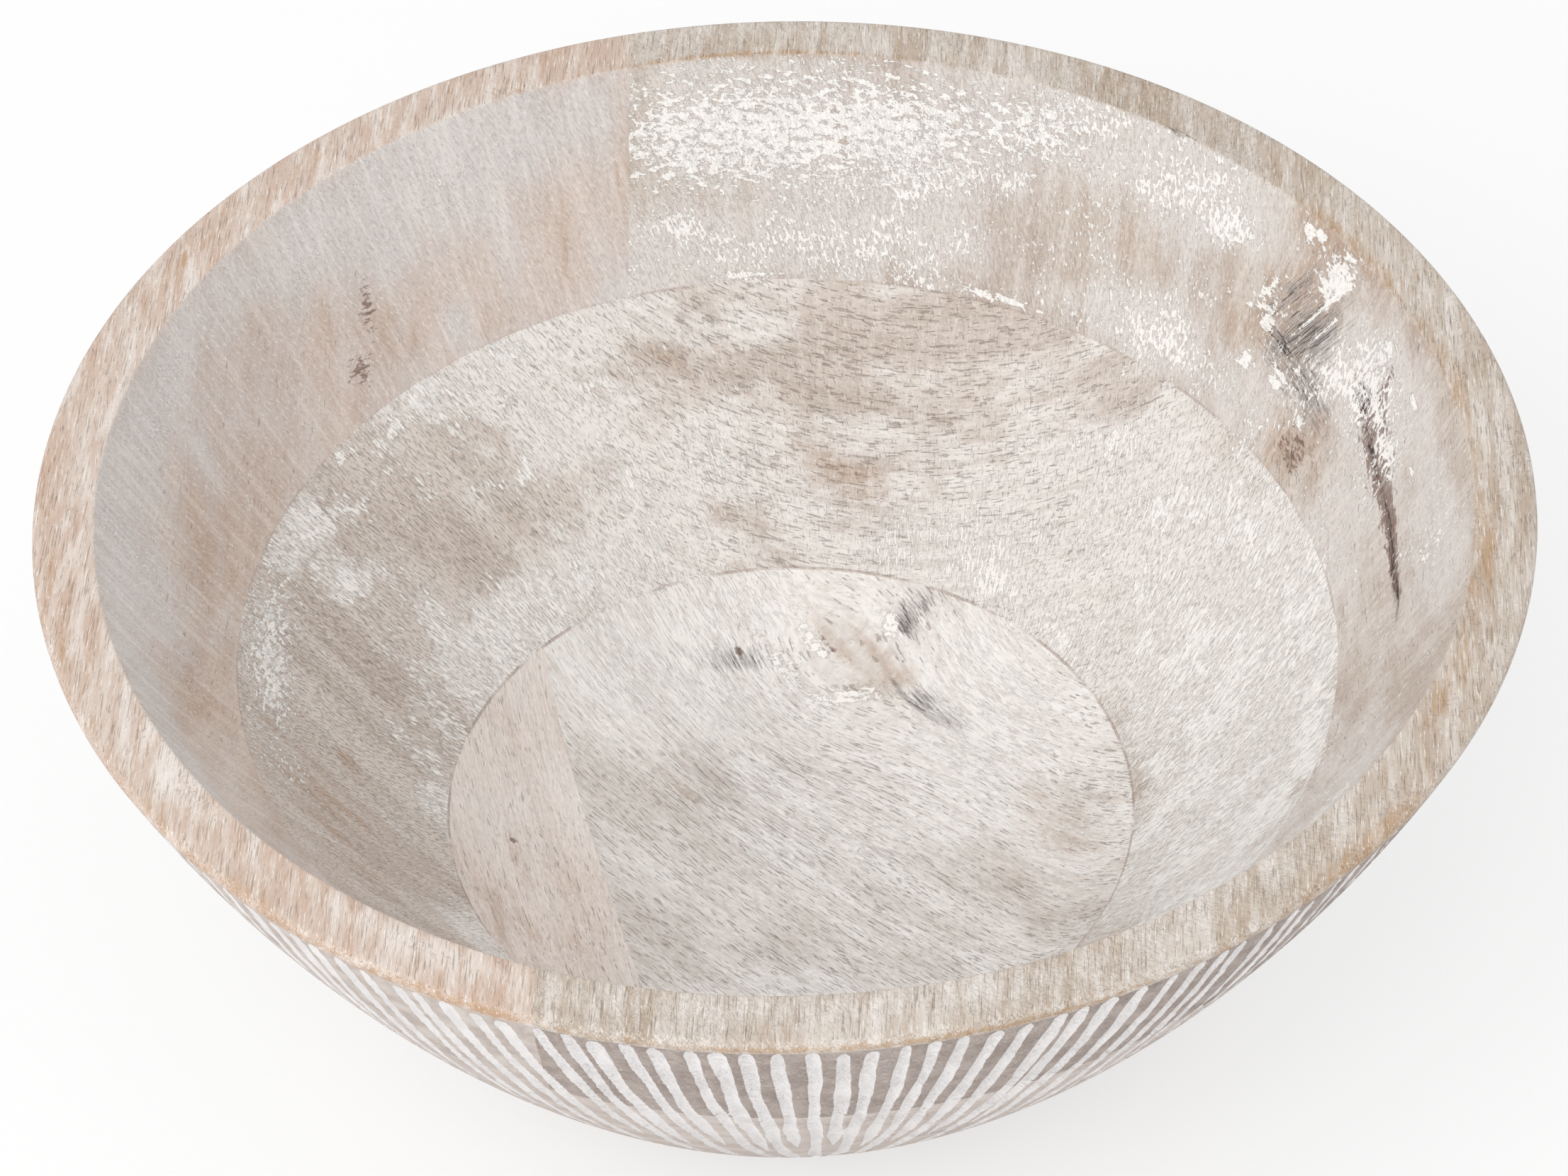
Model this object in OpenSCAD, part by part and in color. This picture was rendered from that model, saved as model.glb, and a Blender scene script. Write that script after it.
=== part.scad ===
// Dough bowl, turned from a blank of thick boards.
// Three layers of boards are glued flat on each other. Each layer is two boards glued edge to edge,
// and the middle layer's joint crosses the other two, so the grain of the blank is crossed.
// The foot stands on z = 0 and the bowl's axis is Z. The back of the bowl is +Y.

/* [Blank] */
// Thickness of the top layer
top_t = 42.5; // [36:0.5:50]
// Thickness of the middle layer
middle_t = 48.5; // [40:0.5:56]
// Thickness of the base layer
base_t = 36; // [32:0.5:44]

/* [Edge joints] */
// Distance of the top layer's joint from the axis
top_joint = 39.5; // [0:0.5:44]
// Direction that the top layer's joint faces, from +X
top_joint_angle = -3.5; // [-20:0.5:20]
// Distance of the middle layer's joint from the axis
middle_joint = 34.5; // [0:0.5:60]
// Direction that the middle layer's joint faces, from +X
middle_joint_angle = 77.5; // [60:0.5:110]
// Distance of the base layer's joint from the axis
base_joint = 40; // [0:0.5:50]
// Direction that the base layer's joint faces, from +X
base_joint_angle = 13.5; // [-20:0.5:20]

/* [Outside] */
// Diameter of the rim before its edge is rounded
rim_d = 301.5; // [285:0.5:330]
// Diameter of the flat foot
foot_d = 130; // [120:1:150]
// How far the outside wall swells beyond a straight cone
outer_swell = 8; // [5:0.5:12]
// Radius of the rounded edge round the rim
rim_ease = 1.5; // [0.5:0.1:1.8]
// Radius of the rounded edge round the foot
foot_ease = 1.5; // [0.5:0.5:3]

/* [Hollow] */
// Width of the flat rim
rim_w = 13; // [11:0.5:18]
// Inside diameter at the joint between the base layer and the middle layer
heel_d = 144; // [134:1:152]
// How far the inside wall swells beyond a straight cone
inner_swell = 4.5; // [2.5:0.5:7]
// Thickness of the floor at its centre
floor_t = 18; // [15:0.5:22]
// Radius of the curve between the wall and the floor
heel_round = 36; // [28:1:40]
// Radius of the slightly dished floor
floor_dish = 250; // [180:10:400]
// Radius of the rounded edge round the mouth
mouth_ease = 0.8; // [0.4:0.2:2]

/* [Flutes] */
// Number of gouged flutes round the rim; every second one is short
flute_n = 162; // [120:2:180]
// Width of a flute
flute_w = 3.3; // [2:0.1:4]
// Depth of a flute
flute_depth = 0.9; // [0.5:0.1:1.4]
// Distance from the rim down to the top of the flutes
flute_top = 3; // [3:0.5:10]
// Height above the foot at which the short flutes end
short_flute_end = 52; // [44:1:70]
// Height above the foot at which the long flutes end
long_flute_end = 6; // [4:0.5:12]

/* [Hidden] */
$fn = 96;
// Smoothness of the large arcs on screen
arc_fn = 720;
// Smoothness of a flute's hollow on screen
gouge_fn = 24;
// Cutting shapes reach past what they cut by this multiple
past = 10;

bowl_h = base_t + middle_t + top_t;
rim_r = rim_d / 2;
foot_r = foot_d / 2;

// Radius of the arc from a to b that swells s to the right of the straight line
function arc_radius(a, b, s) = (pow(norm(b - a) / 2, 2) + s * s) / (2 * s);

// Centre of that arc
function arc_centre(a, b, s) =
  let (along = (b - a) / norm(b - a), left = [-along[1], along[0]])
  (a + b) / 2 + (arc_radius(a, b, s) - s) * left;

// Point where the circle (c, r) meets the line through c and p, on the side of p
function on_circle(c, r, p) = c + r * (p - c) / norm(p - c);

// Point right of the axis at height z, at distance d from c
function at_height(c, d, z) = [c[0] + sqrt(d * d - pow(z - c[1], 2)), z];

// Lower meeting point of two circles, right of the line from c1 to c2
function circles_meet(c1, r1, c2, r2) =
  let (gap = norm(c2 - c1), along = (c2 - c1) / gap, right = [along[1], -along[0]])
  let (k = (gap * gap + r1 * r1 - r2 * r2) / (2 * gap))
  c1 + k * along + sqrt(r1 * r1 - k * k) * right;

// Outside wall: one arc from the foot to the rim
foot_edge = [foot_r, 0];
rim_edge = [rim_r, bowl_h];
outer_r = arc_radius(foot_edge, rim_edge, outer_swell);
outer_c = arc_centre(foot_edge, rim_edge, outer_swell);

// Inside wall: one arc from the heel to the mouth
heel_edge = [heel_d / 2, base_t];
mouth_edge = [rim_r - rim_w, bowl_h];
inner_r = arc_radius(heel_edge, mouth_edge, inner_swell);
inner_c = arc_centre(heel_edge, mouth_edge, inner_swell);

// Floor: a shallow dish, and a tighter curve that runs from it into the wall
floor_c = [0, floor_t + floor_dish];
heel_c = circles_meet(inner_c, inner_r - heel_round, floor_c, floor_dish - heel_round);

// Centres of the rounded edges
rim_ease_c = at_height(outer_c, outer_r - rim_ease, bowl_h - rim_ease);
foot_ease_c = at_height(outer_c, outer_r - foot_ease, foot_ease);
mouth_ease_c = at_height(inner_c, inner_r + mouth_ease, bowl_h - mouth_ease);

// Radius of the gouge that cuts a flute of that width and depth, and how far out it runs
gouge_r = (flute_w * flute_w / 4 + flute_depth * flute_depth) / (2 * flute_depth);
gouge_path_r = outer_r - flute_depth + gouge_r;
// Angle between neighbouring flutes
flute_pitch = 360 / flute_n;

// Angle at which the outside wall's arc passes height z
function wall_angle(z) = asin((z - outer_c[1]) / outer_r);

// What lies outside a rounding circle between the two points where it touches the edges
module corner(c, r, touch_a, touch_b) {
  difference() {
    polygon([c, c + past * (touch_a - c), c + past * (touch_b - c)]);
    translate(c) circle(r);
  }
}

// Half section of the hollow
module hollow_section() {
  difference() {
    intersection() {
      translate(inner_c) circle(inner_r, $fn = arc_fn);
      translate(floor_c) circle(floor_dish, $fn = arc_fn);
      square([rim_r, 2 * bowl_h]);
    }
    corner(heel_c, heel_round, on_circle(inner_c, inner_r, heel_c), on_circle(floor_c, floor_dish, heel_c));
  }
}

// Half section of the whole turned bowl
module bowl_section() {
  difference() {
    intersection() {
      translate(outer_c) circle(outer_r, $fn = arc_fn);
      square([rim_r, bowl_h]);
    }
    hollow_section();
    corner(rim_ease_c, rim_ease, on_circle(outer_c, outer_r, rim_ease_c), [rim_ease_c[0], bowl_h]);
    corner(foot_ease_c, foot_ease, on_circle(outer_c, outer_r, foot_ease_c), [foot_ease_c[0], 0]);
    corner(mouth_ease_c, mouth_ease, on_circle(inner_c, inner_r, mouth_ease_c), [mouth_ease_c[0], bowl_h]);
  }
}

// The turned bowl between two heights
module layer(z, t) {
  rotate_extrude()
    intersection() {
      bowl_section();
      translate([0, z]) square([rim_r, t]);
    }
}

// What the gouge takes out of the outside wall between two heights, in the plane of +X
module flute(z_end, z_top) {
  translate([outer_c[0], 0, outer_c[1]])
    rotate([90, 0, 0])
      rotate([0, 0, wall_angle(z_end)])
        rotate_extrude(angle = wall_angle(z_top) - wall_angle(z_end), $fn = arc_fn)
          translate([gouge_path_r, 0]) circle(gouge_r, $fn = gouge_fn);
}

// Distance of a point on the outside wall, at angle a and height z, past a joint
function past_joint(a, z, joint, turn) =
  at_height(outer_c, outer_r, z)[0] * cos(a - turn) + joint;

// The flutes that reach into a board: long and short ones by turns round the bowl
module flutes(z, t, joint, turn, side) {
  for (i = [0 : flute_n - 1]) {
    a = i * flute_pitch;
    z_end = i % 2 == 0 ? long_flute_end : short_flute_end;
    reach = max([for (h = [z, z + t]) side * past_joint(a, h, joint, turn)]);
    if (z_end < z + t && reach > -flute_w) rotate([0, 0, a]) flute(z_end, bowl_h - flute_top);
  }
}

// Everything on one side of a layer's edge joint: side is 1 past the joint, -1 before it
module joint_side(joint, turn, side) {
  span = 2 * rim_d;
  rotate([0, 0, turn])
    translate([side > 0 ? -joint : -joint - span, -span / 2, -span / 2])
      cube(span);
}

// One board of a layer, cut at its edge joint. The turning starts and ends on the side that is cut off.
module board(z, t, joint, turn, side) {
  difference() {
    intersection() {
      rotate([0, 0, side > 0 ? turn + 180 : turn]) layer(z, t);
      joint_side(joint, turn, side);
    }
    flutes(z, t, joint, turn, side);
  }
}

module top_board_left() {
  color("#a8978b") board(base_t + middle_t, top_t, top_joint, top_joint_angle, -1);
}

module top_board_right() {
  color("#9c958d") board(base_t + middle_t, top_t, top_joint, top_joint_angle, 1);
}

module middle_board_back() {
  color("#a39c95") board(base_t, middle_t, middle_joint, middle_joint_angle, 1);
}

module middle_board_front() {
  color("#a29288") board(base_t, middle_t, middle_joint, middle_joint_angle, -1);
}

module base_board_left() {
  color("#b3a296") board(0, base_t, base_joint, base_joint_angle, -1);
}

module base_board_right() {
  color("#b2aeaa") board(0, base_t, base_joint, base_joint_angle, 1);
}

top_board_left();
top_board_right();
middle_board_back();
middle_board_front();
base_board_left();
base_board_right();
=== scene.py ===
# %% [markdown]
# # A whitewashed dough bowl
# The bowl is turned on a lathe from a blank of six thick boards, glued up in three crossed layers.
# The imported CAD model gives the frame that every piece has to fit: metres, Z up, the foot on the
# floor. This lesson keeps that frame, replaces its plain boards with detailed ones, and paints them.

import math
from types import SimpleNamespace

import bpy
import numpy as np
from mathutils import Matrix, Vector


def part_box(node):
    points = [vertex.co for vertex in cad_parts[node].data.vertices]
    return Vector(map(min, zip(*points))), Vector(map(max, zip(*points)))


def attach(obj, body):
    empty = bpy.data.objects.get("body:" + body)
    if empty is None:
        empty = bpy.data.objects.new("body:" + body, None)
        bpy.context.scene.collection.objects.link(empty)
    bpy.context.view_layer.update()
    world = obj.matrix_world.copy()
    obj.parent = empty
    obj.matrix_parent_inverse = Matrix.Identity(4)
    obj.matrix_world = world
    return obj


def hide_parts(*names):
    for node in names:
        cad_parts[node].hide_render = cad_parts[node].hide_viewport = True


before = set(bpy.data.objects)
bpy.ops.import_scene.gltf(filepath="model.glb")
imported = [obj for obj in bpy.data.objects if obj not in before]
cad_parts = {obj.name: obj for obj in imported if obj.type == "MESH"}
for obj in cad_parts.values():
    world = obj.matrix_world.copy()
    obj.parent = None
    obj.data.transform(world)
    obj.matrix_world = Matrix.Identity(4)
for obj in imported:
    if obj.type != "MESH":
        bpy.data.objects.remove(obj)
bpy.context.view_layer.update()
print("boards in the frame:", sorted(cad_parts))

# %% [markdown]
# ## Sizes
# All sizes are in millimetres and are turned to metres only when a mesh is made. The heights of the
# three layers are read from the frame. The arcs of the turned profile and the places of the joints
# repeat the values that the boards were built from, because a box can't tell them.

# %% Driving sizes
MM = 0.001

top_low, bowl_h = (corner[2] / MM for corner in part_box("top_board_right"))
mid_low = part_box("middle_board_back")[0][2] / MM

rim_r, foot_r = 150.75, 65.0
outer_swell, inner_swell = 8.0, 4.5
rim_w, heel_r = 13.0, 72.0
floor_t, floor_dish, heel_round = 18.0, 250.0, 36.0
rim_ease, foot_ease, mouth_ease = 1.5, 1.5, 0.8

# Each layer's edge joint: its distance from the axis, and the direction it faces in degrees from +X
joints = {"top": (39.5, -3.5), "middle": (34.5, 77.5), "base": (40.0, 13.5)}
print(f"layers from 0, {mid_low:.1f} and {top_low:.1f} to {bowl_h:.1f} mm")

# %% [markdown]
# ## The turned profile
# A turner cuts the wall as two long sweeps of the gouge, so each side of the wall is one arc. The
# floor is a shallow dish, and a tighter curve carries it into the wall. Written as circles, the
# radius at any height is one square root, which works on whole arrays of heights at once.


# %% Helpers for arcs
def swelling_arc(a, b, swell):
    """Centre and radius of the arc from a to b that swells past the straight line between them.
    The radius is (half the chord squared + the swell squared) / twice the swell. The centre lies
    the radius less the swell to the left of the chord's middle."""
    chord = np.subtract(b, a)
    half = np.hypot(*chord) / 2
    radius = (half**2 + swell**2) / (2 * swell)
    left = np.array([-chord[1], chord[0]]) / (2 * half)
    return np.add(a, b) / 2 + (radius - swell) * left, radius


def meeting_point(c1, r1, c2, r2):
    """The lower point that lies r1 from c1 and r2 from c2."""
    gap = np.hypot(*(c2 - c1))
    along = (c2 - c1) / gap
    k = (gap**2 + r1**2 - r2**2) / (2 * gap)
    return c1 + k * along + math.sqrt(r1**2 - k**2) * np.array([along[1], -along[0]])


def touch(c, r, p):
    """Point of the circle (c, r) on the line from its centre to p."""
    return c + r * (p - c) / np.hypot(*(p - c))


def radius_at(arc, z, more=0.0):
    """Radius of an arc at height z: the centre's radius plus a square root, by Pythagoras."""
    return arc[0][0] + np.sqrt((arc[1] + more) ** 2 - (z - arc[0][1]) ** 2)


print(f"a swell of 1 on a chord of 10 gives a radius of {swelling_arc((0, 0), (0, 10), 1)[1]:.0f}")

# %% Arcs of this bowl
outer = swelling_arc((foot_r, 0.0), (rim_r, bowl_h), outer_swell)
inner = swelling_arc((heel_r, mid_low), (rim_r - rim_w, bowl_h), inner_swell)
floor_c = np.array([0.0, floor_t + floor_dish])
heel_c = meeting_point(inner[0], inner[1] - heel_round, floor_c, floor_dish - heel_round)
heel_top = touch(*inner, heel_c)
heel_foot = touch(floor_c, floor_dish, heel_c)


def inside_z(r):
    """Height of the hollow at radius r: the dished floor, the heel's curve, and then the wall."""
    floor = floor_c[1] - np.sqrt(floor_dish**2 - r**2)
    heel = heel_c[1] - np.sqrt(np.maximum(heel_round**2 - (r - heel_c[0]) ** 2, 0))
    wall = inner[0][1] - np.sqrt(inner[1] ** 2 - (r - inner[0][0]) ** 2)
    return np.select([r < heel_foot[0], r < heel_top[0]], [floor, heel], wall)


def depth_along(arc, z):
    """Distance from the rim down an arc of the profile to height z, along the surface."""
    turn = np.arcsin((bowl_h - arc[0][1]) / arc[1]) - np.arcsin((z - arc[0][1]) / arc[1])
    return arc[1] * turn


print(f"wall at the top joint: {radius_at(inner, top_low):.1f} to {radius_at(outer, top_low):.1f} mm")

# %% [markdown]
# ## Camera
# The photograph looks down into the bowl at about 43 degrees from a little over a metre, through a
# long lens. The small pan, tilt and roll place the bowl in the frame as it is in the photograph, so
# the lens needs no shift.

# %% Camera
image_w, focal_px = 2212, 8500
sensor_w = 36.0
stand_off, elevation = 1204.7 * MM, 0.74566
pan, tilt, roll = 0.00032, -0.01697, 0.02288


def turned(v, axis, angle):
    """v turned by an angle about a unit axis, by Rodrigues' formula."""
    c, s = math.cos(angle), math.sin(angle)
    return v * c + np.cross(axis, v) * s + axis * np.dot(axis, v) * (1 - c)


away = np.array([0.0, -math.cos(elevation), math.sin(elevation)])
right = np.array([1.0, 0.0, 0.0])
ahead, up = -away, np.cross(right, -away)
right, ahead = turned(right, up, pan), turned(ahead, up, pan)
up, ahead = turned(up, right, tilt), turned(ahead, right, tilt)
right, up = turned(right, ahead, roll), turned(up, ahead, roll)
eye = np.array([0.0, 0.0, bowl_h * MM]) + stand_off * away

lens = bpy.data.cameras.new("camera")
lens.sensor_fit = "HORIZONTAL"
lens.sensor_width = sensor_w
lens.lens = sensor_w * focal_px / image_w
lens.clip_start = 0.05
camera = bpy.data.objects.new("camera", lens)
pose = np.eye(4)
pose[:3, :3] = np.stack([right, up, -ahead], axis=1)
pose[:3, 3] = eye
camera.matrix_world = Matrix(pose.tolist())
bpy.context.scene.collection.objects.link(camera)
bpy.context.scene.camera = camera
print(f"lens {lens.lens:.1f} mm at {np.round(eye, 3)} m")

# %% [markdown]
# ## Gouged flutes
# The outside is fluted by hand with a small round gouge, about 160 cuts from just under the rim
# down towards the foot, and the cuts are filled with white paint. No two are the same: each has its
# own top, width, wobble and lean, and where neighbours lean together one of them ends early. Each
# cut is described by its distance to the nearest point of its edge, in millimetres, so that the
# same number can both hollow the wall and place the crisp edge of the paint.

# %% Flutes
flute_n = 162
flute_depth = 0.9
pitch = 2 * np.pi / flute_n
# Distance that is given to points on no flute, in mm
no_flute = 9.0

# Each cut's own angle, half width, top, rounded nose and end, in mm below the rim
chance = np.random.default_rng(11)
cut_turn = (np.arange(flute_n) + chance.uniform(-0.16, 0.16, flute_n)) * pitch
cut_half = chance.uniform(1.2, 1.65, flute_n)
cut_top = 1.5 + chance.gamma(1.3, 0.5, flute_n)
cut_nose = chance.uniform(1.6, 5.0, flute_n)
long_end, short_end = 132.0, 86.0
cut_end = np.where(np.arange(flute_n) % 2 == 0, long_end, short_end) + chance.uniform(-6, 6, flute_n)
cut_phase = chance.uniform(0, 2 * np.pi, (4, flute_n))

# Round the bowl the cuts lean together in five places, by up to this slope, one of them at the front
lean_lobes, lean_most, lean_meet = 5, 0.075, math.radians(-86.8)
# Waves along a cut: height, in mm for a wobble and as a share for a swell, and mm per radian
wobble_slow, wobble_quick = (0.2, 8.5), (0.08, 3.7)
swell_slow, swell_quick = (0.13, 7.0), (0.03, 2.6)
# Share of its width that a cut loses per mm, and the length over which it runs out to a point
narrowing, run_out = 0.0008, 16.0
# A cut of this half width in mm has its full depth
full_half = 1.2


def wave(size, down, phase):
    """Wave along a cut: its height * sin(way down / its length + phase)."""
    return size[0] * np.sin(down / size[1] + phase)


def flute_distance(turn, down, radius):
    """Signed distance in mm from the edge of the nearest flute, below 0 in the flute, and the
    depth of its hollow. turn is the angle round the axis and down the distance below the rim.
    A flute's middle line leans by a sine of its angle and wobbles by two sines of the way down.
    Its half width swells and shrinks by two more, rounds off at the top and runs out to a point.
    Its hollow is a parabola over the half width."""
    distance = np.full(turn.shape, no_flute)
    hollow = np.zeros(turn.shape)
    nearest = np.round(turn / pitch).astype(int)
    for near in (-2, -1, 0, 1, 2):
        i = (nearest + near) % flute_n
        lean = -lean_most * np.sin(lean_lobes * (cut_turn[i] - lean_meet)) * down
        wobble = wave(wobble_slow, down, cut_phase[0, i]) + wave(wobble_quick, down, cut_phase[1, i])
        swing = (turn - cut_turn[i] + np.pi) % (2 * np.pi) - np.pi
        aside = swing * radius - lean - wobble
        half = cut_half[i] * (1 + wave(swell_slow, down, cut_phase[2, i]) - narrowing * down)
        half *= 1 + wave(swell_quick, down, cut_phase[3, i])
        nose = np.clip((down - cut_top[i]) / cut_nose[i], 0, 1)
        point = np.clip((cut_end[i] - down) / run_out, 0, 1)
        half *= np.sqrt(nose * (2 - nose)) * point**0.8
        past_end = np.maximum(cut_top[i] - down, down - cut_end[i])
        here = np.where(past_end > 0, np.hypot(aside, past_end), np.abs(aside) - half)
        distance = np.minimum(distance, here)
        parabola = np.clip(1 - (aside / np.maximum(half, 0.1)) ** 2, 0, 1)
        hollow = np.maximum(hollow, np.where(past_end > 0, 0, parabola * np.clip(half / full_half, 0, 1)))
    return distance, flute_depth * hollow


print(f"{flute_n} flutes, {rim_r * pitch:.1f} mm apart at the rim")

# %% [markdown]
# ## Boards of the wall
# A board of the top or middle layer is a ring segment: the layer's section carried round the axis
# and cut off flat at the layer's edge joint. It is one grid. One parameter runs round the section,
# the other from one end of the board to the other. At radius r the joint cuts the board at the
# angle whose cosine is the joint's distance over r, so each row of the grid stops exactly there.

# %% Section of a layer
# Points up each side of a layer, round the rim's outer edge, across the flat rim and round the mouth
wall_rows, ease_rows, rim_rows, mouth_rows = 44, 7, 7, 5
rim_half = rim_w / 2


def rounded_edge(c, r, start, stop, n):
    """Points of a rounded edge: a circle about c from one angle to another."""
    a = np.linspace(start, stop, n)
    return c[0] + r * np.cos(a), c[1] + r * np.sin(a)


def direction(c, p):
    """Angle from c to p."""
    return math.atan2(p[1] - c[1], p[0] - c[0])


def plain_section(low, high):
    """Closed section of a layer below the top one, as radius, height, lip and patch arrays. It
    climbs the outside and comes down the inside. lip is the distance along the surface from the
    middle of the rim, above 0 outside and below 0 inside. patch is 0 on turned faces and 1 on the
    flat glue faces."""
    z_out, z_in = np.linspace(low, high, wall_rows), np.linspace(high, low, wall_rows)
    r = np.concatenate([radius_at(outer, z_out), radius_at(inner, z_in)])
    lip = np.concatenate([rim_half + depth_along(outer, z_out), -rim_half - depth_along(inner, z_in)])
    patch = np.zeros(2 * wall_rows)
    patch[[wall_rows - 1, -1]] = 1
    return r, np.concatenate([z_out, z_in]), lip, patch


def rim_section(low):
    """Closed section of the top layer, as plain_section gives it, with the rim and its two rounded
    edges. lip is the length summed along the points, counted from the middle of the rim."""
    ease_z, mouth_z = bowl_h - rim_ease, bowl_h - mouth_ease
    ease_c = np.array([radius_at(outer, ease_z, -rim_ease), ease_z])
    mouth_c = np.array([radius_at(inner, mouth_z, mouth_ease), mouth_z])
    ease_end, mouth_end = touch(*outer, ease_c), touch(*inner, mouth_c)
    z_out = np.linspace(low, ease_end[1], wall_rows)
    z_in = np.linspace(mouth_end[1], low, wall_rows)
    ease = rounded_edge(ease_c, rim_ease, direction(ease_c, ease_end), np.pi / 2, ease_rows)
    mouth = rounded_edge(mouth_c, mouth_ease, np.pi / 2, direction(mouth_c, mouth_end), mouth_rows)
    flat = np.linspace(ease_c[0], mouth_c[0], rim_rows + 2)[1:-1]
    r = np.concatenate([radius_at(outer, z_out)[:-1], ease[0], flat, mouth[0], radius_at(inner, z_in)[1:]])
    z = np.concatenate([z_out[:-1], ease[1], np.full(rim_rows, bowl_h), mouth[1], z_in[1:]])
    way = np.concatenate([[0], np.cumsum(np.hypot(np.diff(r), np.diff(z)))])
    over = slice(wall_rows, wall_rows - 1 + ease_rows + rim_rows + mouth_rows)
    middle = np.interp(-(rim_r - rim_half), -r[over], way[over])
    patch = np.zeros(r.shape)
    patch[-1] = 1
    return r, z, middle - way, patch


print("points in the rim's section:", len(rim_section(top_low)[0]))

# %% [markdown]
# ## Boards of the base
# The two base boards fill a disc, so they have no inner end. Each is a stack of closed rings that
# starts at a point on the floor, grows out to the joint with the layer above, goes down the outside
# and shrinks again under the foot. A ring is the outline of the board at one radius: an arc, and a
# straight chord along the edge joint, with its two corners always in the same two columns.


# %% Rings of the base
def facing_of(layer, side):
    """Direction in which a board lies from its joint, in radians, and how far along it the joint is."""
    distance, angle = joints[layer]
    return (math.radians(angle), -distance) if side > 0 else (math.radians(angle + 180), distance)


def ring(radius, back, arc_n, chord_n):
    """Outline of the part of a disc that lies past x = back, counter-clockwise, as x and y arrays.
    The arc runs between plus and minus the angle whose cosine is back over the radius."""
    most = math.acos(back / radius)
    a = np.linspace(-most, most, arc_n)
    y = np.linspace(1, -1, chord_n + 2)[1:-1] * radius * math.sin(most)
    return (
        np.concatenate([radius * np.cos(a), np.full(chord_n, back)]),
        np.concatenate([radius * np.sin(a), y]),
    )


# Steps over which the way along the hollow is summed
way_steps = 400


def inside_way(r):
    """Distance along the hollow from the middle of the rim to radius r, summed over short steps."""
    steps = np.linspace(rim_r - rim_w, 0.0, way_steps)
    climb = np.diff(inside_z(steps), prepend=inside_z(steps[:1]))
    way = np.cumsum(np.hypot(np.diff(steps, prepend=steps[0]), climb))
    return rim_half + np.interp(-r, -steps, way)


print(f"from the rim to the middle of the floor: {inside_way(0.0):.0f} mm")

# %% [markdown]
# ## Grain
# Each board's grain runs one way, and round a knot it parts and closes again. A picture of wood would
# repeat and end at each joint, so every point of a board gets its distance along and across the
# grain instead, and round a knot the distance across is squeezed. Patterns drawn over these two
# distances then follow the fibres.

# %% Grain
# Direction of each board's grain, in degrees from +X
grains = {"top_left": 86.5, "top_right": 86.5, "middle_back": -12.5, "middle_front": -12.5}
grains |= {"base_left": 103.5, "base_right": -46.0}

# The knot in the floor: its x and y, its radius, and the share by which it parts the fibres
knot_x, knot_y, knot_r, knot_part = 14.0, 55.0, 26.0, 0.8


def fibre_of(name, x, y):
    """Distances along and across the grain: x and y turned back by the grain's direction. Round the
    knot the distance across, counted from the knot, shrinks by the bell curve exp(-(d / radius)^2)."""
    c, s = math.cos(math.radians(grains[name])), math.sin(math.radians(grains[name]))
    along, across = x * c + y * s, y * c - x * s
    if name == "base_right":
        near = np.exp(-((x - knot_x) ** 2 + (y - knot_y) ** 2) / knot_r**2)
        middle = knot_y * c - knot_x * s
        across = middle + (across - middle) * (1 - knot_part * near)
    return along, across


print("grain of the boards in degrees:", grains)

# %% [markdown]
# ## Marks of wash, paint and knots
# The wash isn't even. Some places have thick paint, some are rubbed bare, and knots, bark and a crack
# show through. Each mark is a soft oval on the surface: the height of a bell curve over an ellipse.
# On the wall an oval is placed by its angle and its distance below the rim, on the floor by x and y.
# Marks of one kind add up to one field, and the materials break the soft fields up with grain, so a
# few ovals are enough for an irregular patch.

# %% Marks on the wall
kinds = ("wash", "paint", "brown", "dark", "slate", "rust")

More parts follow.
